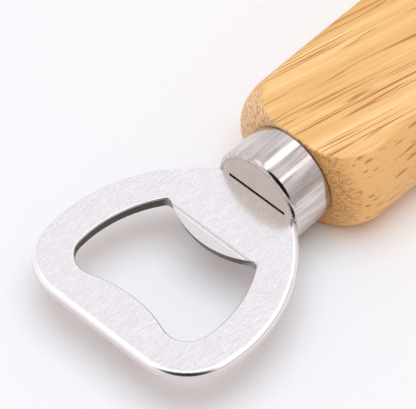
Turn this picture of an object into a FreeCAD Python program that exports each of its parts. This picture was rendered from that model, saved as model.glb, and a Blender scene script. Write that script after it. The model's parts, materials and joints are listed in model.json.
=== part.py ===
import FreeCAD, Part

# A wooden-handled bottle opener that lies on a table on the flat of its handle.
# A stamped steel head with a window for the cap has a tang, which passes through a slot in a
# drawn steel ferrule and is glued into a mortise in the handle. The ferrule sits on a round tenon
# at the handle's end. Nothing on it moves.
#
# Frame, in millimetres: +X runs from the head to the handle's butt, +Y across, +Z up.
# The origin is midway along the opener, on its centre plane, at the height of the handle's
# lower flat.

import math
import os

from FreeCAD import Vector

# Head: a flat plate with a round-cornered front and sides that close in towards the ferrule
head_length = 37.3          # front edge to the ferrule's face
head_width = 41.8
widest_to_ferrule = 24.1    # where the head is widest, ahead of the ferrule's face
neck_width = 17.6           # where the plate butts on the ferrule
front_corner_radius = 10.3
plate_thickness = 2.0
plate_rise = 0.5            # the plate's middle above the ferrule's axis
outer_edge_radius_top = 0.95
outer_edge_radius_bottom = 0.5

# Window in the head, which takes the edge of a crown cap
side_rim_width = 6.7
front_rim_width = 8.4       # at the fulcrum, its widest
fulcrum_radius = 23.4       # of the bump that bears on the cap's top
window_corner_radius = 4.4
window_rear_corner_radius = 1.1
bridge_length = 10.6        # ferrule's face to the fold line of the lip
window_edge_radius = 0.35

# Lip that hooks under the cap: a tongue folded down from the window's rear edge
lip_reach = 2.65            # from the fold line, at the middle
lip_fold_deg = 18.0
lip_bend_radius = 0.7       # on the inside of the fold, below

# Tang, in one piece with the head
tang_width = 12.0
tang_tip_width = 7.0
tang_straight = 14.0        # from the ferrule's face, before it tapers
tang_length = 42.0          # from the ferrule's face
tang_tip_radius = 1.5

root_overlap = 1.6          # how far the lip, the tang and the tenon run back into what they grow from

# Ferrule: a drawn cup with a slot in its closed end
ferrule_diameter = 18.0
ferrule_length = 8.3
ferrule_wall = 0.6
ferrule_end_wall = 0.8
ferrule_nose_radius = 1.0
ferrule_inner_radius = 0.35
ferrule_rim_radius = 0.2
slot_gap = 0.35             # above, below and half of it beside the tang
tenon_nose_gap = 0.2        # the tenon's chamfer clears the cup's inner corner by this

# Handle: shaped all round, then flatted above and below
handle_length = 90.0        # ferrule's rim to the butt
handle_thickness = 18.0
flat_width = 23.5           # of the flats, at the belly
side_bulge = 3.4            # how far the sides stand out past the flats' edges, at mid height
front_bulge = 0.2           # and the ends, likewise
butt_bulge = 2.6
belly_radius = 1500.0       # of the sides, seen from above
belly_from_front = 30.0     # ferrule's rim to the widest place
front_corner_flat = 8.3     # corner radius of the flats at the ferrule end
front_corner_mid = 6.0      # and at mid height
butt_radius = 34.0
butt_corner_flat = 9.0
butt_corner_mid = 8.0
handle_edge_radius = 0.5
section_levels = 7          # outlines that the handle's skin passes through

# Mortise for the tang, filled with glue
mortise_gap_side = 0.4      # each side of the tang
mortise_gap_face = 0.5      # above and below it
mortise_gap_end = 1.0
mortise_corner_radius = 0.8

overall_length = head_length + ferrule_length + handle_length
ferrule_face_x = head_length - overall_length / 2
ferrule_rim_x = ferrule_face_x + ferrule_length
front_x = ferrule_face_x - head_length
butt_x = ferrule_rim_x + handle_length
axis_z = handle_thickness / 2
plate_z = axis_z + plate_rise
plate_top = plate_z + plate_thickness / 2
plate_bottom = plate_z - plate_thickness / 2


def circles_meet(centre_a, radius_a, centre_b, radius_b, furthest):
    """Where two circles cross in XY: the point furthest along X or along Y."""
    ax, ay = centre_a
    bx, by = centre_b
    gap = math.hypot(bx - ax, by - ay)
    along = (radius_a ** 2 - radius_b ** 2 + gap ** 2) / (2 * gap)
    off = math.sqrt(radius_a ** 2 - along ** 2)
    ux, uy = (bx - ax) / gap, (by - ay) / gap
    one = (ax + along * ux - off * uy, ay + along * uy + off * ux)
    other = (ax + along * ux + off * uy, ay + along * uy - off * ux)
    return max(one, other, key=lambda point: point["XY".index(furthest)])


def towards(centre, target, distance):
    """The point at a distance from centre on its ray to target."""
    dx, dy = target[0] - centre[0], target[1] - centre[1]
    length = math.hypot(dx, dy)
    return (centre[0] + dx * distance / length, centre[1] + dy * distance / length)


def arc_middle(centre, start, end):
    """The middle point of the shorter arc about centre from start to end."""
    half = ((start[0] + end[0]) / 2, (start[1] + end[1]) / 2)
    return towards(centre, half, math.hypot(start[0] - centre[0], start[1] - centre[1]))


def outline(stations, z):
    """A closed wire, symmetric about Y = 0, from its upper half: a list of (point, centre), where
    centre is None for a straight run to the next point, or the centre of the arc to it."""
    def at(point):
        return Vector(point[0], point[1], z)

    def mirrored(point):
        return (point[0], -point[1])

    runs = []
    for (start, centre), (end, _) in zip(stations, stations[1:]):
        middle = arc_middle(centre, start, end) if centre else None
        runs.append((start, middle, end))
    lower = [(mirrored(end), mirrored(middle) if middle else None, mirrored(start))
             for start, middle, end in reversed(runs)]
    first, last = stations[0][0], stations[-1][0]
    if last[1] > 0:
        runs.append((last, None, mirrored(last)))
    runs += lower
    if first[1] > 0:
        runs.append((mirrored(first), None, first))
    edges = []
    for start, middle, end in runs:
        if middle:
            edges.append(Part.Arc(at(start), at(middle), at(end)).toShape())
        else:
            edges.append(Part.LineSegment(at(start), at(end)).toShape())
    return Part.Wire(edges)


def side_circle():
    """Centre and radius of the arc that forms the head's upper side, in XY."""
    half, neck = head_width / 2, neck_width / 2
    radius = (widest_to_ferrule ** 2 + (half - neck) ** 2) / (2 * (half - neck))
    return (ferrule_face_x - widest_to_ferrule, half - radius), radius


def rounded(solid, radius, chosen):
    """The solid with a fillet on each edge that the test picks."""
    edges = [edge for edge in solid.Edges if chosen(edge)]
    return solid.makeFillet(radius, edges)


def lies_at(edge, z):
    box = edge.BoundBox
    return abs(box.ZMin - z) < 1e-3 and abs(box.ZMax - z) < 1e-3


def head_blank():
    """The plate's outer shape with its rolled edges, cut square where it butts on the ferrule."""
    centre, radius = side_circle()
    corner_x = front_x + front_corner_radius
    reach = math.sqrt((radius - front_corner_radius) ** 2 - (corner_x - centre[0]) ** 2)
    corner = (corner_x, centre[1] + reach)
    neck = (ferrule_face_x, neck_width / 2)
    closing_in = (neck[0] - centre[0]) / (neck[1] - centre[1])
    past_neck = 2 * outer_edge_radius_top
    past = (neck[0] + past_neck, neck[1] - closing_in * past_neck)
    wire = outline([
        ((front_x, corner[1]), corner),
        (towards(centre, corner, radius), centre),
        (neck, None),
        (past, None),
    ], plate_bottom)
    plate = Part.Face(wire).extrude(Vector(0, 0, plate_thickness))
    plate = rounded(plate, outer_edge_radius_top, lambda edge: lies_at(edge, plate_top))
    plate = rounded(plate, outer_edge_radius_bottom, lambda edge: lies_at(edge, plate_bottom))
    beyond = Part.makeBox(head_length, 2 * head_width, 4 * plate_thickness,
                          Vector(ferrule_face_x, -head_width, plate_z - 2 * plate_thickness))
    return plate.cut(beyond)


def window_side():
    """Centre and radius of the arc that forms the window's upper side, in XY."""
    centre, radius = side_circle()
    return centre, radius - side_rim_width


def window_rear_corner():
    """Centre of the small arc at the window's upper rear corner, in XY."""
    centre, radius = window_side()
    x = ferrule_face_x - bridge_length - window_rear_corner_radius
    reach = radius - window_rear_corner_radius
    return (x, centre[1] + math.sqrt(reach ** 2 - (x - centre[0]) ** 2))


def window():
    """What is cut from the plate."""
    centre, inner = window_side()
    fulcrum = (front_x + front_rim_width - fulcrum_radius, 0)
    corner = circles_meet(centre, inner - window_corner_radius,
                          fulcrum, fulcrum_radius + window_corner_radius, "Y")
    rear = window_rear_corner()
    wire = outline([
        ((fulcrum[0] + fulcrum_radius, 0), fulcrum),
        (towards(fulcrum, corner, fulcrum_radius), corner),
        (towards(centre, corner, inner), centre),
        (towards(centre, rear, inner), rear),
        ((ferrule_face_x - bridge_length, rear[1]), None),
    ], plate_bottom)
    return Part.Face(wire).extrude(Vector(0, 0, plate_thickness))


def lip():
    """The folded tongue, with a root that lies flush inside the plate."""
    fold = math.radians(lip_fold_deg)
    fold_x = ferrule_face_x - bridge_length
    half = window_rear_corner()[1]
    outer_bend = lip_bend_radius + plate_thickness
    pivot = Vector(fold_x, 0, plate_top - outer_bend)
    along = Vector(-math.cos(fold), 0, -math.sin(fold))
    back = Vector(root_overlap, 0, 0)

    def on_bend(radius, angle):
        return pivot + Vector(-radius * math.sin(angle), 0, radius * math.cos(angle))

    def bent(radius):
        """One face of the strip, in section: flat root, bend and flat tongue."""
        start, end = on_bend(radius, 0), on_bend(radius, fold)
        return [start + back, start, on_bend(radius, fold / 2), end, end + along * 2 * lip_reach]

    top, below = bent(outer_bend), bent(lip_bend_radius)
    section = Part.Wire([
        Part.LineSegment(top[0], top[1]).toShape(),
        Part.Arc(top[1], top[2], top[3]).toShape(),
        Part.LineSegment(top[3], top[4]).toShape(),
        Part.LineSegment(top[4], below[4]).toShape(),
        Part.LineSegment(below[4], below[3]).toShape(),
        Part.Arc(below[3], below[2], below[1]).toShape(),
        Part.LineSegment(below[1], below[0]).toShape(),
        Part.LineSegment(below[0], top[0]).toShape(),
    ])
    section.translate(Vector(0, -half, 0))
    strip = Part.Face(section).extrude(Vector(0, 2 * half, 0))

    nose_radius = (half ** 2 + lip_reach ** 2) / (2 * lip_reach)
    tangent = outer_bend * math.tan(fold / 2)
    knuckle = Vector(fold_x - tangent, 0, plate_top)
    nose_centre = knuckle - along * (nose_radius - lip_reach + tangent)
    square = Vector(math.sin(fold), 0, -math.cos(fold))
    depth = 4 * plate_thickness
    nose = Part.makeCylinder(nose_radius, depth, nose_centre - square * (depth / 2), square)
    return strip.common(nose)


def tang():
    """The tang, from just inside the plate to its rounded tip."""
    tip_x = ferrule_face_x + tang_length
    start = (ferrule_face_x - root_overlap, tang_width / 2)
    bend = (ferrule_face_x + tang_straight, tang_width / 2)
    tip = (tip_x, tang_tip_width / 2)
    wire = outline([(start, None), (bend, None), (tip, None)], plate_bottom)
    bar = Part.Face(wire).extrude(Vector(0, 0, plate_thickness))

    def at_tip(edge):
        box = edge.BoundBox
        return box.XMin > tip_x - 1e-3 and box.ZMax - box.ZMin > plate_thickness / 2

    return rounded(bar, tang_tip_radius, at_tip)


def opener_head():
    opening = window()
    plate = head_blank().cut(opening)

    def on_window(edge):
        face_level = lies_at(edge, plate_top) or lies_at(edge, plate_bottom)
        return face_level and opening.distToShape(edge)[0] < 1e-4

    plate = rounded(plate, window_edge_radius, on_window)
    return plate.fuse(lip()).fuse(tang()).removeSplitter()


def turned(profile):
    """A solid of revolution about the ferrule's axis, from a closed list of (x, radius, rounding)
    points. A rounding above zero is the fillet on the edge that its point makes."""
    points = [Vector(x, 0, axis_z + radius) for x, radius, _ in profile]
    section = Part.Face(Part.makePolygon(points + [points[0]]))
    solid = section.revolve(Vector(0, 0, axis_z), Vector(1, 0, 0), 360)
    for x, radius, rounding in profile:
        if rounding:
            def ring(edge, x=x, radius=radius):
                box = edge.BoundBox
                flat = abs(box.XMin - x) < 1e-3 and abs(box.XMax - x) < 1e-3
                return flat and abs(box.ZMax - axis_z - radius) < 1e-3
            solid = rounded(solid, rounding, ring)
    return solid


def ferrule():
    outer = ferrule_diameter / 2
    inner = outer - ferrule_wall
    inside_x = ferrule_face_x + ferrule_end_wall
    cup = turned([
        (ferrule_face_x, 0, 0),
        (ferrule_face_x, outer, ferrule_nose_radius),
        (ferrule_rim_x, outer, ferrule_rim_radius),
        (ferrule_rim_x, inner, 0),
        (inside_x, inner, ferrule_inner_radius),
        (inside_x, 0, 0),
    ])
    width, height = tang_width + slot_gap, plate_thickness + 2 * slot_gap
    corner = Vector(ferrule_face_x - ferrule_end_wall / 2, -width / 2, plate_z - height / 2)
    slot = Part.makeBox(2 * ferrule_end_wall, width, height, corner)
    return cup.cut(slot)


def handle_section(level):
    """The handle's outline at a height from -1, the lower flat, to 1, the upper one."""
    out = 1 - level ** 2
    belly_x = ferrule_rim_x + belly_from_front
    half = flat_width / 2 + side_bulge * out
    belly = (belly_x, half - belly_radius)
    nose_x = ferrule_rim_x + front_bulge * (1 - out)
    end_x = butt_x - butt_bulge * (1 - out)
    front_corner = front_corner_flat + (front_corner_mid - front_corner_flat) * out
    butt_corner = butt_corner_flat + (butt_corner_mid - butt_corner_flat) * out
    front_centre_x = nose_x + front_corner
    rise = math.sqrt((belly_radius - front_corner) ** 2 - (front_centre_x - belly_x) ** 2)
    front_centre = (front_centre_x, belly[1] + rise)
    butt_middle = (end_x - butt_radius, 0)
    butt_centre = circles_meet(butt_middle, butt_radius - butt_corner,
                               belly, belly_radius - butt_corner, "X")
    return outline([
        ((nose_x, front_centre[1]), front_centre),
        (towards(belly, front_centre, belly_radius), belly),
        (towards(belly, butt_centre, belly_radius), butt_centre),
        (towards(butt_middle, butt_centre, butt_radius), butt_middle),
        ((end_x, 0), None),
    ], axis_z + level * handle_thickness / 2)


def handle_blank():
    levels = [2 * i / (section_levels - 1) - 1 for i in range(section_levels)]
    return Part.makeLoft([handle_section(level) for level in levels], True, False)


def mortise():
    """The blind slot for the tang, open through the tenon's end."""
    start_x = ferrule_face_x + ferrule_end_wall
    depth = tang_length + mortise_gap_end - ferrule_end_wall
    width = tang_width + 2 * mortise_gap_side
    height = plate_thickness + 2 * mortise_gap_face
    slot = Part.makeBox(depth, width, height, Vector(start_x, -width / 2, plate_z - height / 2))

    def along(edge):
        box = edge.BoundBox
        return box.XMax - box.XMin > depth / 2

    return rounded(slot, mortise_corner_radius, along)


def handle():
    blank = handle_blank()
    blank = rounded(blank, handle_edge_radius,
                    lambda edge: lies_at(edge, 0) or lies_at(edge, handle_thickness))
    inner = ferrule_diameter / 2 - ferrule_wall
    start_x = ferrule_face_x + ferrule_end_wall
    length = ferrule_rim_x + root_overlap - start_x
    tenon = Part.makeCylinder(inner, length, Vector(start_x, 0, axis_z), Vector(1, 0, 0))
    nose = [edge for edge in tenon.Edges if edge.BoundBox.XMax < start_x + 1e-3]
    tenon = tenon.makeChamfer(ferrule_inner_radius + tenon_nose_gap, nose)
    return blank.fuse(tenon).cut(mortise())


def tang_adhesive():
    """The cured glue that fills the mortise round the tang."""
    return mortise().cut(tang())


def main():
    os.makedirs("parts", exist_ok=True)
    pieces = {
        "opener_head": opener_head(),
        "ferrule": ferrule(),
        "handle": handle(),
        "tang_adhesive": tang_adhesive(),
    }
    for name, shape in pieces.items():
        shape.exportStep(os.path.join("parts", name + ".step"))
        box = shape.BoundBox
        print(name, "valid", shape.isValid(), "solids", len(shape.Solids),
              "volume", round(shape.Volume, 1), "x %.2f to %.2f y %.2f to %.2f z %.2f to %.2f"
              % (box.XMin, box.XMax, box.YMin, box.YMax, box.ZMin, box.ZMax))


main()
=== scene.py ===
"""Finishes for a bottle opener: a ground steel head, a plated ferrule, a wooden handle and its glue.

Lengths are in metres, in the frame of the model: +X runs from the head to the butt of the handle,
+Z is up, and the handle rests on Z = 0.
"""

import json
import math

import bpy
from mathutils import Matrix, Vector


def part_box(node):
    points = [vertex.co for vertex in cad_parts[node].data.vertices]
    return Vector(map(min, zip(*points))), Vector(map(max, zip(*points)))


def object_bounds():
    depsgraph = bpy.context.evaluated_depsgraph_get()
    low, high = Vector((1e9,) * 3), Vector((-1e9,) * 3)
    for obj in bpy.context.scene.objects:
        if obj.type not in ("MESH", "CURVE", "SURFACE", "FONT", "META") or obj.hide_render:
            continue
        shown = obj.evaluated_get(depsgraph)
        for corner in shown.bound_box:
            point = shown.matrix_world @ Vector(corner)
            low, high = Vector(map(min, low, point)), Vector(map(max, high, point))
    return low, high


bl_info = {
    "name": "Bottle Opener Finishes",
    "version": (1, 0, 0),
    "blender": (4, 5, 0),
    "location": "View3D > Sidebar > Opener",
    "description": "Gives a bottle opener its steel, plating, wood and glue, and a pale stage",
    "category": "Material",
}

MM = 0.001

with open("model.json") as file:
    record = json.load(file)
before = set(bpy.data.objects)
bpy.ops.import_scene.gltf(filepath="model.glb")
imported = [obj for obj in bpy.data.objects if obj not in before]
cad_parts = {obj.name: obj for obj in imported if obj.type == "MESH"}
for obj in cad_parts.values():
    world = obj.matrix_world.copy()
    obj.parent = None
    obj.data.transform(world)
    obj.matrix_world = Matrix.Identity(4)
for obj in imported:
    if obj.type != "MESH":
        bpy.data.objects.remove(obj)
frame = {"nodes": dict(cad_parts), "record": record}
CAD_LOW, CAD_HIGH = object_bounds()
HEAD_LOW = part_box("opener_head")[0]
FERRULE_LOW, FERRULE_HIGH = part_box("ferrule")
HANDLE_LOW, HANDLE_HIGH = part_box("handle")

AXIS_HEIGHT = (HANDLE_LOW.z + HANDLE_HIGH.z) / 2
OPENINGS = {opening["name"]: opening["box_m"] for opening in frame["record"]["physics"]["openings"]}
WINDOW_HIGH = OPENINGS["cap_window"][1]


# ---------------------------------------------------------------- node trees

class Wire:
    """A value on its way through a node tree. An operator on it adds a Math node."""

    def __init__(self, tree, socket):
        self.tree = tree
        self.socket = socket

    def maths(self, operation, *values):
        """A Math node on these values."""
        return self.tree.node("ShaderNodeMath", {"operation": operation}, dict(enumerate(values)))

    def __add__(self, other):
        return self.maths("ADD", self, other)

    def __radd__(self, other):
        return self.maths("ADD", other, self)

    def __sub__(self, other):
        return self.maths("SUBTRACT", self, other)

    def __rsub__(self, other):
        return self.maths("SUBTRACT", other, self)

    def __mul__(self, other):
        return self.maths("MULTIPLY", self, other)

    def __rmul__(self, other):
        return self.maths("MULTIPLY", other, self)

    def __truediv__(self, other):
        return self.maths("DIVIDE", self, other)

    def __rtruediv__(self, other):
        return self.maths("DIVIDE", other, self)

    def __abs__(self):
        return self.maths("ABSOLUTE", self)


class NodeTree:
    """Adds nodes to the tree of a material or of the world."""

    def __init__(self, owner):
        owner.use_nodes = True
        self.tree = owner.node_tree
        self.tree.nodes.clear()

    def node(self, kind, settings=None, inputs=None, output=0):
        """Adds a node: its settings first, then a value or a wire for each input socket.

        Returns the wire from one of its outputs, or nothing from a node that ends a tree.
        """
        made = self.tree.nodes.new(kind)
        for name, value in (settings or {}).items():
            setattr(made, name, value)
        for name, value in (inputs or {}).items():
            if isinstance(value, Wire):
                self.tree.links.new(value.socket, made.inputs[name])
            else:
                made.inputs[name].default_value = value
        return Wire(self, made.outputs[output]) if made.outputs else None

    def split(self, vector):
        """The three components of a vector."""
        return [self.node("ShaderNodeSeparateXYZ", None, {0: vector}, axis) for axis in range(3)]

    def join(self, x, y, z):
        """A vector of three components."""
        return self.node("ShaderNodeCombineXYZ", None, {0: x, 1: y, 2: z})

    def vector(self, operation, first, second, output=0):
        """Vector maths on two vectors."""
        settings = {"operation": operation}
        return self.node("ShaderNodeVectorMath", settings, {0: first, 1: second}, output)

    def larger(self, first, second):
        """The larger of two values."""
        return self.node("ShaderNodeMath", {"operation": "MAXIMUM"}, {0: first, 1: second})

    def smooth(self, value, low, high, start=0.0, end=1.0):
        """Turns smoothly from start at low to end at high, and is level outside them."""
        settings = {"interpolation_type": "SMOOTHSTEP"}
        inputs = {"Value": value, 1: low, 2: high, 3: start, 4: end}
        return self.node("ShaderNodeMapRange", settings, inputs)

    def fade(self, value, low, high):
        """1 below low and 0 above high, with a smooth turn between them."""
        return self.smooth(value, low, high, 1.0, 0.0)

    def blend(self, share, first, second):
        """Mixes two colours: share 0 is the first one, and share 1 the second."""
        settings = {"data_type": "RGBA", "blend_type": "MIX"}
        return self.node("ShaderNodeMix", settings, {0: share, 6: first, 7: second}, 2)

    def noise(self, where, detail=2.0, roughness=0.5):
        """Smooth noise from 0 to 1, one blob to a unit of where."""
        inputs = {"Vector": where, "Scale": 1.0, "Detail": detail, "Roughness": roughness}
        return self.node("ShaderNodeTexNoise", None, inputs)

    def nearest(self, where):
        """The distance to the nearest of points that are scattered about a unit apart."""
        settings = {"voronoi_dimensions": "3D", "feature": "F1"}
        return self.node("ShaderNodeTexVoronoi", settings, {"Vector": where, "Scale": 1.0})

    def stretched(self, where, along, across):
        """Coordinates for a pattern with marks this long along X and this wide across it."""
        return self.vector("MULTIPLY", where, (1 / along, 1 / across, 1 / across))


class Finish(NodeTree):
    """A surface material with one Principled shader."""

    def __init__(self, name):
        self.material = bpy.data.materials.new(name)
        super().__init__(self.material)
        self.place = self.node("ShaderNodeTexCoord", output="Object")
        self.normal = self.node("ShaderNodeNewGeometry", output="Normal")

    def surface(self, **sockets):
        """Ends the tree: a keyword such as base_color feeds the socket Base Color."""
        inputs = {name.replace("_", " ").title().replace("Ior", "IOR"): value
                  for name, value in sockets.items()}
        shader = self.node("ShaderNodeBsdfPrincipled", None, inputs)
        self.node("ShaderNodeOutputMaterial", None, {"Surface": shader})
        return self.material

    def pores(self, where, along, across, share):
        """1 inside long thin pores, which lie this far apart and take up this share of the way."""
        distance = self.nearest(self.stretched(where, along, across))
        core = 0.6 * share
        return self.fade(distance, core, share)

    def relief(self, height, depth, strength=1.0):
        """The normal of a surface whose height, from 0 to 1, stands for this depth."""
        inputs = {"Height": height, "Distance": depth, "Strength": strength}
        return self.node("ShaderNodeBump", None, inputs)


def opaque(colour, shade=1.0):
    """A colour with full alpha, made lighter or darker by a factor."""
    return (*[channel * shade for channel in colour], 1.0)


def wear(node_name, material):
    """Puts a material on every slot of a CAD node."""
    for slot in frame["nodes"][node_name].material_slots:
        slot.material = material


# ---------------------------------------------------------------- what a user may change

def a_length(name, description, default):
    """A length in metres."""
    return bpy.props.FloatProperty(name=name, description=description, default=default,
                                   min=0.0, precision=5, subtype="DISTANCE", unit="LENGTH")


def an_angle(name, description, degrees):
    """An angle, whose default is given in degrees."""
    return bpy.props.FloatProperty(name=name, description=description, default=math.radians(degrees),
                                   subtype="ANGLE", unit="ROTATION")


def a_share(name, description, default):
    """A value from 0 to 1."""
    return bpy.props.FloatProperty(name=name, description=description, default=default,
                                   min=0.0, max=1.0, subtype="FACTOR")


def a_colour(name, description, default):
    """A linear colour."""
    return bpy.props.FloatVectorProperty(name=name, description=description, default=default,
                                         size=3, min=0.0, soft_max=2.0, subtype="COLOR")


class HeadLook(bpy.types.PropertyGroup):
    """The finish of the stamped steel head."""

    steel: a_colour("Steel", "Reflected colour of the ground faces", (0.93, 0.91, 0.935))
    # painted highlight: the polished outer edge is made brighter than the ground steel
    rim: a_colour("Rolled rim", "Reflected colour of the polished outer edge", (1.0, 0.99, 0.99))
    # painted reflection: the outer wall is made darker and warmer, standing for the shaded table it mirrors
    wall: a_colour("Outer wall", "Reflected colour of the tumbled outer wall", (0.77, 0.68, 0.66))
    # painted shade: the window's edge is made darker than the steel, for a dark line round it
    window_edge: a_colour("Window edge", "Reflected colour of the window's edge", (0.62, 0.58, 0.56))
    # painted shade: a near-black colour for the wall inside the window and for the line of the fold
    painted_shade: a_colour("Punched wall", "Reflected colour of the torn wall in the window", (0.13, 0.11, 0.10))
    lip_shade: a_share("Lip shade", "How much of the faces' light the lip gives back", 0.72)
    crease_shade: a_share("Crease shade", "How dark the line of the fold is", 0.42)
    ground_roughness: a_share("Ground roughness", "Roughness of the ground faces", 0.20)
    edge_roughness: a_share("Edge roughness", "Roughness of the polished outer edge", 0.23)
    scratch_length: a_length("Scratch length", "Length of a grinding scratch", 2.4 * MM)
    scratch_width: a_length("Scratch width", "Width of a grinding scratch", 0.14 * MM)
    scratch_depth: a_length("Scratch depth", "Depth of a grinding scratch", 0.0018 * MM)
    bridge: a_length("Bridge", "From the ferrule to the line where the lip folds down", 10.6 * MM)


class FerruleLook(bpy.types.PropertyGroup):
    """The finish of the plated ferrule."""

    plating: a_colour("Plating", "Reflected colour of the bright barrel", (0.76, 0.70, 0.67))
    # painted shade: the end face is given a much darker colour than the plating
    face: a_colour("Face", "Reflected colour of the satin end face", (0.475, 0.40, 0.36))
    # painted shadow: the dark colour of the line along the rim next to the wood
    rim: a_colour("Rim", "Reflected colour of the cut rim by the wood", (0.08, 0.06, 0.05))
    rim_width: a_length("Rim width", "Width of the dark line at the rim", 0.40 * MM)
    rim_share: a_share("Rim share", "How much the rim is darkened", 0.75)
    streak_shade: a_share("Streak shade", "How much light the dullest streaks give back", 0.72)
    streak_length: a_length("Streak length", "Length of a polishing streak along the barrel", 6 * MM)
    streak_width: a_length("Streak width", "Width of a polishing streak", 0.7 * MM)
    streak_depth: a_length("Streak depth", "Depth of a polishing streak", 0.008 * MM)
    barrel_roughness: a_share("Barrel roughness", "Roughness of the barrel", 0.07)
    face_roughness: a_share("Face roughness", "Roughness of the end face", 0.20)


class HandleLook(bpy.types.PropertyGroup):
    """The wood of the handle."""

    pale: a_colour("Pale wood", "Colour between the darker bands", (0.99, 0.68, 0.31))
    side: a_colour("Side wood", "Colour of the sides", (0.87, 0.515, 0.195))
    band: a_colour("Band", "Colour of the broad darker bands", (0.82, 0.48, 0.165))
    pore: a_colour("Pore", "Colour inside a long pore", (0.46, 0.18, 0.035))
    end_pale: a_colour("End grain", "Colour of the end grain", (0.93, 0.68, 0.40))
    end_brown: a_colour("Brown end grain", "Colour of the end grain on the near side", (0.72, 0.39, 0.13))
    end_dark: a_colour("End grain speck", "Colour of the dark specks in the end grain", (0.50, 0.21, 0.05))
    grain_angle: an_angle("Grain angle", "How far the grain runs off the handle's axis, from above", -12.5)
    sway: a_length("Sway", "How far the grain wanders to the side", 1.6 * MM)
    pore_length: a_length("Pore spacing along", "Distance between pores along the grain", 65 * MM)
    pore_spacing: a_length("Pore spacing across", "Distance between pores across the grain", 1.0 * MM)
    pore_share: a_share("Pore share", "How much of its spacing a pore takes up", 0.24)
    pore_depth: a_length("Pore depth", "Depth of a pore that is cut open", 0.06 * MM)
    dash_spacing: a_length("Dash spacing", "Distance between the cut pores along the sides", 6.5 * MM)
    roughness: a_share("Roughness", "Roughness of the oiled wood", 0.46)


class GlueLook(bpy.types.PropertyGroup):
    """The glue round the tang."""

    # painted shade: the glue is near-black so that the slot above the tang looks shaded
    tint: a_colour("Glue", "Colour of the cured glue", (0.012, 0.010, 0.009))
    roughness: a_share("Roughness", "Roughness of the cured glue", 0.65)


class StageLook(bpy.types.PropertyGroup):
    """The table, the studio round it and the camera."""

    table: a_colour("Table", "Colour of the table top", (0.905, 0.925, 0.925))
    key: a_colour("Key light", "Light on the table from above", (0.36, 0.455, 0.53))
    key_spread: an_angle("Key spread", "How wide the key light looks from the table", 55)
    fill: a_colour("Fill light", "Light on the table from all round", (0.70, 0.565, 0.525))
    fill_spread: an_angle("Fill spread", "How wide the fill light looks from the table", 180)
    back_wall: a_colour("Back wall", "What shines in the metal from behind", (0.87, 0.85, 0.91))
    front_wall: a_colour("Front wall", "What shines in the metal from the front", (0.62, 0.57, 0.565))
    ceiling: a_colour("Ceiling", "What shines in the metal from above", (0.94, 0.92, 0.945))
    panel: a_share("Panel frame", "How bright the frames round the light panels are", 0.55)
    table_size: a_length("Table size", "Side of the square table top", 40.0)
    camera_distance: a_length("Camera distance", "From the camera to what it looks at", 0.735)
    camera_azimuth: an_angle("Camera azimuth", "Angle of the camera round the opener", -45.92)
    camera_elevation: an_angle("Camera elevation", "Angle of the camera above the table", 50.91)
    camera_roll: an_angle("Camera roll", "How far the camera leans to its side", -0.474)
    camera_lens: bpy.props.FloatProperty(name="Lens", description="Focal length in millimetres",
                                         default=389.4, min=1.0, subtype="DISTANCE_CAMERA")


# ---------------------------------------------------------------- finishes

# How much of a normal points up or down: where a face begins and is complete, and where a wall
# is complete and ends. The flats of the wood are rounder than the faces of the head.
FACE_RISE = (0.93, 0.995)
WALL_RISE = (0.25, 0.55)
FLAT_RISE = (0.6, 0.95)

# How nearly a surface of the wood is cut across its fibres: where end grain begins and is complete.
END_CUT = (0.32, 0.75)


def window_zones(finish, x, y):
    """1 beside the window across the head, behind its front and before its rear, and 0 past them."""
    side = WINDOW_HIGH[1] + 4 * MM
    front = HEAD_LOW.x + 3 * MM
    rear = WINDOW_HIGH[0] + 2 * MM
    by_side = finish.fade(abs(y), side, side + 2 * MM)
    by_front = finish.smooth(x, front, front + 1 * MM)
    by_rear = finish.fade(x, rear, rear + 2 * MM)
    return by_side, by_front, by_rear


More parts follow.
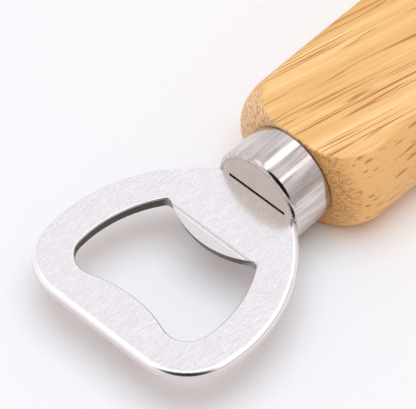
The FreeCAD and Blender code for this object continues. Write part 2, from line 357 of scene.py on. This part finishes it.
def ground_steel(look):
    """Steel ground along its length on its faces, polished round the rim and torn in the window, with a
    painted highlight on the rim, a painted reflection of the shaded table on the outer walls, and painted
    shade on the window's edge, in the window and along the fold.
    """
    finish = Finish("ground_steel")
    x, y, _ = finish.split(finish.place)
    lean, _, rise = finish.split(finish.normal)
    is_face = finish.smooth(abs(rise), *FACE_RISE)
    is_wall = finish.fade(abs(rise), *WALL_RISE)
    by_side, by_front, by_rear = window_zones(finish, x, y)
    in_window = by_side * by_front * by_rear
    is_window_wall = is_wall * in_window

    # the grain: scratches along X, with some cloudiness and fine specks
    along_grain = finish.stretched(finish.place, look.scratch_length, look.scratch_width)
    scratches = finish.noise(along_grain, detail=3.0, roughness=0.6)
    clouds = finish.noise(finish.stretched(finish.place, 2.5 * MM, 1.0 * MM), detail=3.0)
    specks = finish.noise(finish.stretched(finish.place, 0.35 * MM, 0.22 * MM), detail=2.0)
    tone = finish.smooth(scratches + clouds * 0.3 + specks * 0.8, 0.85, 1.25)
    dark_grain = 0.89
    light_grain = 1.04

    # the lip leans forward, and its fold is where the lean begins
    is_leaning = finish.fade(lean, -0.28, -0.22) * (1.0 - is_wall)
    begins_to_lean = finish.fade(lean, -0.10, -0.04) * finish.smooth(lean, -0.28, -0.20)
    past_fold = (FERRULE_LOW.x - look.bridge) - x
    by_fold = finish.fade(abs(past_fold), 0.5 * MM, 1.0 * MM)
    is_lip = finish.smooth(past_fold, 0.0, 0.2 * MM) * by_side * by_front * is_leaning

    steel = finish.blend(tone, opaque(look.steel, dark_grain), opaque(look.steel, light_grain))
    # painted highlight on the outer edge, which is brighter than the steel, and painted shade on the
    # window's edge, which is darker
    edge = finish.blend(in_window, opaque(look.rim), opaque(look.window_edge))
    steel = finish.blend(is_face, edge, steel)
    steel = finish.blend(is_lip, steel, opaque(look.steel, look.lip_shade))
    # painted shade: the line of the fold is darkened towards the near-black shade colour
    steel = finish.blend(by_fold * begins_to_lean * look.crease_shade, steel, opaque(look.painted_shade))
    # painted reflection: the outer walls are darkened and warmed to stand for the shaded table that they
    # mirror
    steel = finish.blend(is_wall, steel, opaque(look.wall))
    # painted shade: the wall inside the window is made near-black
    steel = finish.blend(is_window_wall, steel, opaque(look.painted_shade))

    # how much rougher than the polished edge each place is
    neck = FERRULE_LOW.x - 10 * MM
    by_neck = finish.smooth(x, neck, neck + 4 * MM) * (1.0 - is_face)
    roughness = look.edge_roughness + is_face * (look.ground_roughness - look.edge_roughness)
    for place, rougher in (
            (is_face * (scratches - 0.5), 0.10),
            (is_wall, 0.16),
            (is_window_wall, 0.20),
            (is_lip, 0.22),
            (by_neck, 0.40)):
        roughness = roughness + place * rougher
    return finish.surface(base_color=steel, metallic=1.0, roughness=roughness,
                          normal=finish.relief(scratches * is_face, look.scratch_depth))


def plated_steel(look):
    """Bright streaky plating on the barrel and the nose, a satin end face darkened with painted shade, and
    a painted shadow along the rim by the wood.
    """
    finish = Finish("plated_steel")
    x = finish.split(finish.place)[0]
    forward = finish.split(finish.normal)[0]
    is_face = finish.fade(forward, -0.995, -0.95)
    rim_edge = 0.15 * MM
    is_rim_shade = finish.smooth(x, FERRULE_HIGH.x - look.rim_width, FERRULE_HIGH.x - rim_edge)
    along_barrel = finish.stretched(finish.place, look.streak_length, look.streak_width)
    streaks = finish.noise(along_barrel, detail=3.0)
    haze = finish.noise(finish.stretched(finish.place, 3 * MM, 3 * MM), detail=2.0)
    haze_roughness = 0.30

    is_bright = finish.smooth(streaks, 0.3, 0.7)
    plating = finish.blend(is_bright, opaque(look.plating, look.streak_shade), opaque(look.plating))
    # painted shade: the satin end face is darker than the plating
    plating = finish.blend(is_face, plating, opaque(look.face))
    # painted shadow: a dark line along the rim next to the wood
    plating = finish.blend(is_rim_shade * look.rim_share, plating, opaque(look.rim))
    roughness = look.barrel_roughness + (streaks * haze) * haze_roughness
    roughness = roughness + is_face * (look.face_roughness - look.barrel_roughness)
    return finish.surface(base_color=plating, metallic=1.0, roughness=roughness,
                          normal=finish.relief(streaks * (1.0 - is_face), look.streak_depth))


def pale_hardwood(look):
    """Oiled rubberwood: broad bands, fine fibres, long brown pores and speckled end grain."""
    finish = Finish("pale_hardwood")
    turned = finish.node("ShaderNodeMapping", None,
                         {"Vector": finish.place, "Rotation": (0.0, 0.0, -look.grain_angle)})
    waves = finish.noise(finish.stretched(turned, 26 * MM, 7 * MM), detail=1.0)
    sway = (waves - 0.5) * look.sway
    along, across, height = finish.split(turned)
    grain = finish.join(along, across + sway, height + sway)

    # end grain, flats, the near side of the grain, and the way from the ferrule to the butt
    fibre = (math.cos(look.grain_angle), math.sin(look.grain_angle), 0.0)
    end_on = abs(finish.vector("DOT_PRODUCT", finish.normal, fibre, "Value"))
    is_end = finish.smooth(end_on, *END_CUT)
    is_flat = finish.smooth(abs(finish.split(finish.normal)[2]), *FLAT_RISE)
    is_near = finish.smooth(across, 1 * MM, -10 * MM)
    to_butt = finish.smooth(along, HANDLE_LOW.x + 12 * MM, HANDLE_LOW.x + 55 * MM, 0.0, 0.5)

    # marks of the grain
    bands = finish.noise(finish.stretched(grain, 70 * MM, 3.2 * MM), detail=3.0)
    fibres = finish.noise(finish.stretched(grain, 9 * MM, 0.22 * MM), detail=3.0, roughness=0.6)
    specks = finish.noise(finish.stretched(grain, 2.0 * MM, 0.5 * MM), detail=3.0, roughness=0.8)
    pores = finish.pores(grain, look.pore_length, look.pore_spacing, look.pore_share)
    hairs = finish.pores(grain, look.pore_length, look.pore_spacing * 0.45, look.pore_share * 1.1)
    dashes = finish.pores(finish.place, look.dash_spacing, look.pore_spacing, look.pore_share * 1.3)
    from_vein = abs(finish.noise(finish.stretched(grain, 90 * MM, 1.5 * MM), detail=1.0) - 0.5)
    gaps = finish.noise(finish.stretched(grain, 22 * MM, 3 * MM), detail=2.0)
    veins = finish.fade(from_vein, 0.010, 0.030) * finish.smooth(gaps, 0.45, 0.62)

    is_speck = finish.smooth(specks + is_near * 0.06, 0.51, 0.64)
    end = finish.blend(is_near * 0.8, opaque(look.end_pale), opaque(look.end_brown))
    end = finish.blend(is_speck, end, opaque(look.end_dark))

    wood = finish.blend(finish.smooth(bands, 0.38, 0.62), opaque(look.pale), opaque(look.band))
    wood = finish.blend(to_butt, wood, opaque(look.band))
    wood = finish.blend(is_flat, opaque(look.side), wood)
    wood = finish.blend(is_end, wood, end)
    wood = finish.blend(finish.smooth(fibres, 0.42, 0.7, 0.0, 0.6), wood, opaque(look.band))

    # the long marks show most on the flats, and the dashes only on the sides
    on_flat = 0.4 + is_flat * 0.6
    on_side = (1.0 - is_flat) * (1.0 - is_end)
    for mark, strength in (
            (hairs * on_flat, 0.85),
            (veins * is_flat, 0.85),
            (pores * on_flat, 0.90),
            (dashes * on_side, 0.75)):
        wood = finish.blend(mark * strength, wood, opaque(look.pore))

    surface_height = 1.0 - pores * 0.6 - hairs * 0.2 - fibres * 0.15
    bump_strength = 0.6
    return finish.surface(base_color=wood, roughness=look.roughness + pores * 0.3 + is_end * 0.12,
                          specular_ior_level=0.35,
                          normal=finish.relief(surface_height, look.pore_depth, bump_strength))


def cured_epoxy(look):
    """Near-black glue, dark as painted shade in the slot above the tang, with a slightly uneven skin."""
    finish = Finish("cured_epoxy")
    lumps = finish.noise(finish.stretched(finish.place, 0.8 * MM, 0.8 * MM), detail=3.0)
    lump_height = 0.05 * MM
    lighter = 1.8
    glue = finish.blend(lumps, opaque(look.tint), opaque(look.tint, lighter))
    return finish.surface(base_color=glue, roughness=look.roughness,
                          normal=finish.relief(lumps, lump_height))


def matt_table(look):
    """A matt pale board with a faint tooth."""
    finish = Finish("matt_table")
    tooth = finish.noise(finish.stretched(finish.place, 0.6 * MM, 0.6 * MM), detail=2.0)
    slightly_darker = 0.985
    board = finish.blend(tooth, opaque(look.table, slightly_darker), opaque(look.table))
    return finish.surface(base_color=board, roughness=0.85, specular_ior_level=0.2)


# ---------------------------------------------------------------- the stage

# Light panels on a ceiling one unit above the opener: centre, half size along X and Y, and light.
LIGHT_PANELS = (
    (0.45, 0.22, 1.30, 0.15, 1.90),
    (0.60, -0.59, 0.90, 0.10, 1.70),
    (-0.50, 0.60, 0.80, 0.24, 1.40),
)

# How far outside a panel its glow fades out, and how far outside it its frame does.
GLOW_EDGE = (-0.02, 0.05)
FRAME_EDGE = (0.06, 0.12)

# The person and the camera are a dark round shape in this direction, this wide from the middle.
PERSON = Vector((-0.55, -0.47, 0.69)).normalized()
PERSON_RADIUS = math.radians(35)
PERSON_SOFTNESS = math.radians(4)
PERSON_COLOUR = (0.012, 0.010, 0.010)


def backward(look):
    """The direction from what the camera looks at to the camera."""
    level = math.cos(look.camera_elevation)
    return Vector((math.sin(look.camera_azimuth) * level,
                   -math.cos(look.camera_azimuth) * level,
                   math.sin(look.camera_elevation)))


def add_table(look):
    """A square board just under the opener."""
    half = look.table_size / 2
    drop = 0.02 * MM
    corners = [(x, y, CAD_LOW.z - drop) for x, y in
               ((-half, -half), (half, -half), (half, half), (-half, half))]
    mesh = bpy.data.meshes.new("table")
    mesh.from_pydata(corners, [], [(0, 1, 2, 3)])
    table = bpy.data.objects.new("table", mesh)
    table.data.materials.append(matt_table(look))
    bpy.context.scene.collection.objects.link(table)


def add_light(name, spread, tint):
    """A light from above, which metal doesn't mirror, because the world gives what it mirrors."""
    data = bpy.data.lights.new(name, "SUN")
    data.angle = spread
    data.color = [channel / max(tint) for channel in tint]
    data.energy = max(tint) * math.pi
    light = bpy.data.objects.new(name, data)
    light.visible_glossy = False
    bpy.context.scene.collection.objects.link(light)


def add_room(look):
    """What the metal mirrors: walls, a ceiling with light panels, and a dark shape by the camera."""
    world = bpy.data.worlds.new("room")
    bpy.context.scene.world = world
    world.cycles_visibility.diffuse = False
    sky = NodeTree(world)
    direction = sky.node("ShaderNodeTexCoord", output="Generated")
    x, y, z = sky.split(direction)
    light = sky.blend(sky.smooth(y, -0.6, 0.6), opaque(look.front_wall), opaque(look.back_wall))
    light = sky.blend(sky.smooth(z, 0.35, 0.75), light, opaque(look.ceiling))

    height = sky.larger(z, 0.05)
    frame_light = opaque((look.panel,) * 3)
    for centre_x, centre_y, half_x, half_y, glow in LIGHT_PANELS:
        reach_x = abs(x / height - centre_x) - half_x
        reach_y = abs(y / height - centre_y) - half_y
        reach = sky.larger(reach_x, reach_y)
        light = sky.blend(sky.fade(reach, *FRAME_EDGE), light, frame_light)
        light = sky.blend(sky.fade(reach, *GLOW_EDGE), light, opaque((glow,) * 3))

    facing = sky.vector("DOT_PRODUCT", direction, PERSON, "Value")
    outside = math.cos(PERSON_RADIUS + PERSON_SOFTNESS)
    is_person = sky.smooth(facing, outside, math.cos(PERSON_RADIUS - PERSON_SOFTNESS))
    light = sky.blend(is_person, light, opaque(PERSON_COLOUR))

    background = sky.node("ShaderNodeBackground", None, {"Color": light})
    sky.node("ShaderNodeOutputWorld", None, {"Surface": background})


def add_camera(look):
    """Looks at the head just before the ferrule, from the front, the -Y side and above."""
    aim = Vector((FERRULE_LOW.x - 6.2 * MM, 5.1 * MM, AXIS_HEIGHT))
    back = backward(look)
    data = bpy.data.cameras.new("camera")
    data.lens = look.camera_lens
    data.clip_start = look.camera_distance / 100
    camera = bpy.data.objects.new("camera", data)
    camera.matrix_world = (Matrix.Translation(aim + back * look.camera_distance)
                           @ (-back).to_track_quat("-Z", "Y").to_matrix().to_4x4()
                           @ Matrix.Rotation(look.camera_roll, 4, "Z"))
    bpy.context.scene.collection.objects.link(camera)
    bpy.context.scene.camera = camera


# ---------------------------------------------------------------- the add-on

class OPENER_OT_finish_head(bpy.types.Operator):
    """Gives the stamped head its ground steel"""

    bl_idname = "opener.finish_head"
    bl_label = "Head"

    def execute(self, context):
        wear("opener_head", ground_steel(context.scene.opener_head_look))
        return {"FINISHED"}


class OPENER_OT_finish_ferrule(bpy.types.Operator):
    """Gives the ferrule its bright plating"""

    bl_idname = "opener.finish_ferrule"
    bl_label = "Ferrule"

    def execute(self, context):
        wear("ferrule", plated_steel(context.scene.opener_ferrule_look))
        return {"FINISHED"}


class OPENER_OT_finish_handle(bpy.types.Operator):
    """Gives the handle its oiled wood"""

    bl_idname = "opener.finish_handle"
    bl_label = "Handle"

    def execute(self, context):
        wear("handle", pale_hardwood(context.scene.opener_handle_look))
        return {"FINISHED"}


class OPENER_OT_finish_glue(bpy.types.Operator):
    """Gives the glue round the tang its near-black skin, which is painted shade for the slot"""

    bl_idname = "opener.finish_glue"
    bl_label = "Glue"

    def execute(self, context):
        wear("tang_adhesive", cured_epoxy(context.scene.opener_glue_look))
        return {"FINISHED"}


class OPENER_OT_set_stage(bpy.types.Operator):
    """Sets the opener on a pale table in a soft studio, with a camera"""

    bl_idname = "opener.set_stage"
    bl_label = "Stage"

    def execute(self, context):
        look = context.scene.opener_stage_look
        add_table(look)
        add_light("key_light", look.key_spread, look.key)
        add_light("fill_light", look.fill_spread, look.fill)
        add_room(look)
        add_camera(look)
        context.scene.view_settings.view_transform = "Standard"
        return {"FINISHED"}


LOOKS = {
    "opener_head_look": HeadLook,
    "opener_ferrule_look": FerruleLook,
    "opener_handle_look": HandleLook,
    "opener_glue_look": GlueLook,
    "opener_stage_look": StageLook,
}
OPERATORS = (
    OPENER_OT_finish_head,
    OPENER_OT_finish_ferrule,
    OPENER_OT_finish_handle,
    OPENER_OT_finish_glue,
    OPENER_OT_set_stage,
)


class OPENER_PT_finishes(bpy.types.Panel):
    """Lists the finishes and the values that each one takes"""

    bl_idname = "OPENER_PT_finishes"
    bl_label = "Bottle Opener"
    bl_space_type = "VIEW_3D"
    bl_region_type = "UI"
    bl_category = "Opener"

    def draw(self, context):
        for operator, look_name in zip(OPERATORS, LOOKS):
            box = self.layout.box()
            box.operator(operator.bl_idname)
            look = getattr(context.scene, look_name)
            for value_name in look.__annotations__:
                box.prop(look, value_name)


CLASSES = (*LOOKS.values(), *OPERATORS, OPENER_PT_finishes)


def register():
    """Adds the classes, and the looks to the scene."""
    for made_class in CLASSES:
        bpy.utils.register_class(made_class)
    for look_name, look_class in LOOKS.items():
        setattr(bpy.types.Scene, look_name, bpy.props.PointerProperty(type=look_class))


def unregister():
    """Takes away what register adds."""
    for look_name in LOOKS:
        delattr(bpy.types.Scene, look_name)
    for made_class in reversed(CLASSES):
        bpy.utils.unregister_class(made_class)


def main():
    """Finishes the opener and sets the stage."""
    register()
    bpy.ops.opener.finish_head()
    bpy.ops.opener.finish_ferrule()
    bpy.ops.opener.finish_handle()
    bpy.ops.opener.finish_glue()
    bpy.ops.opener.set_stage()


if __name__ == "__main__":
    main()
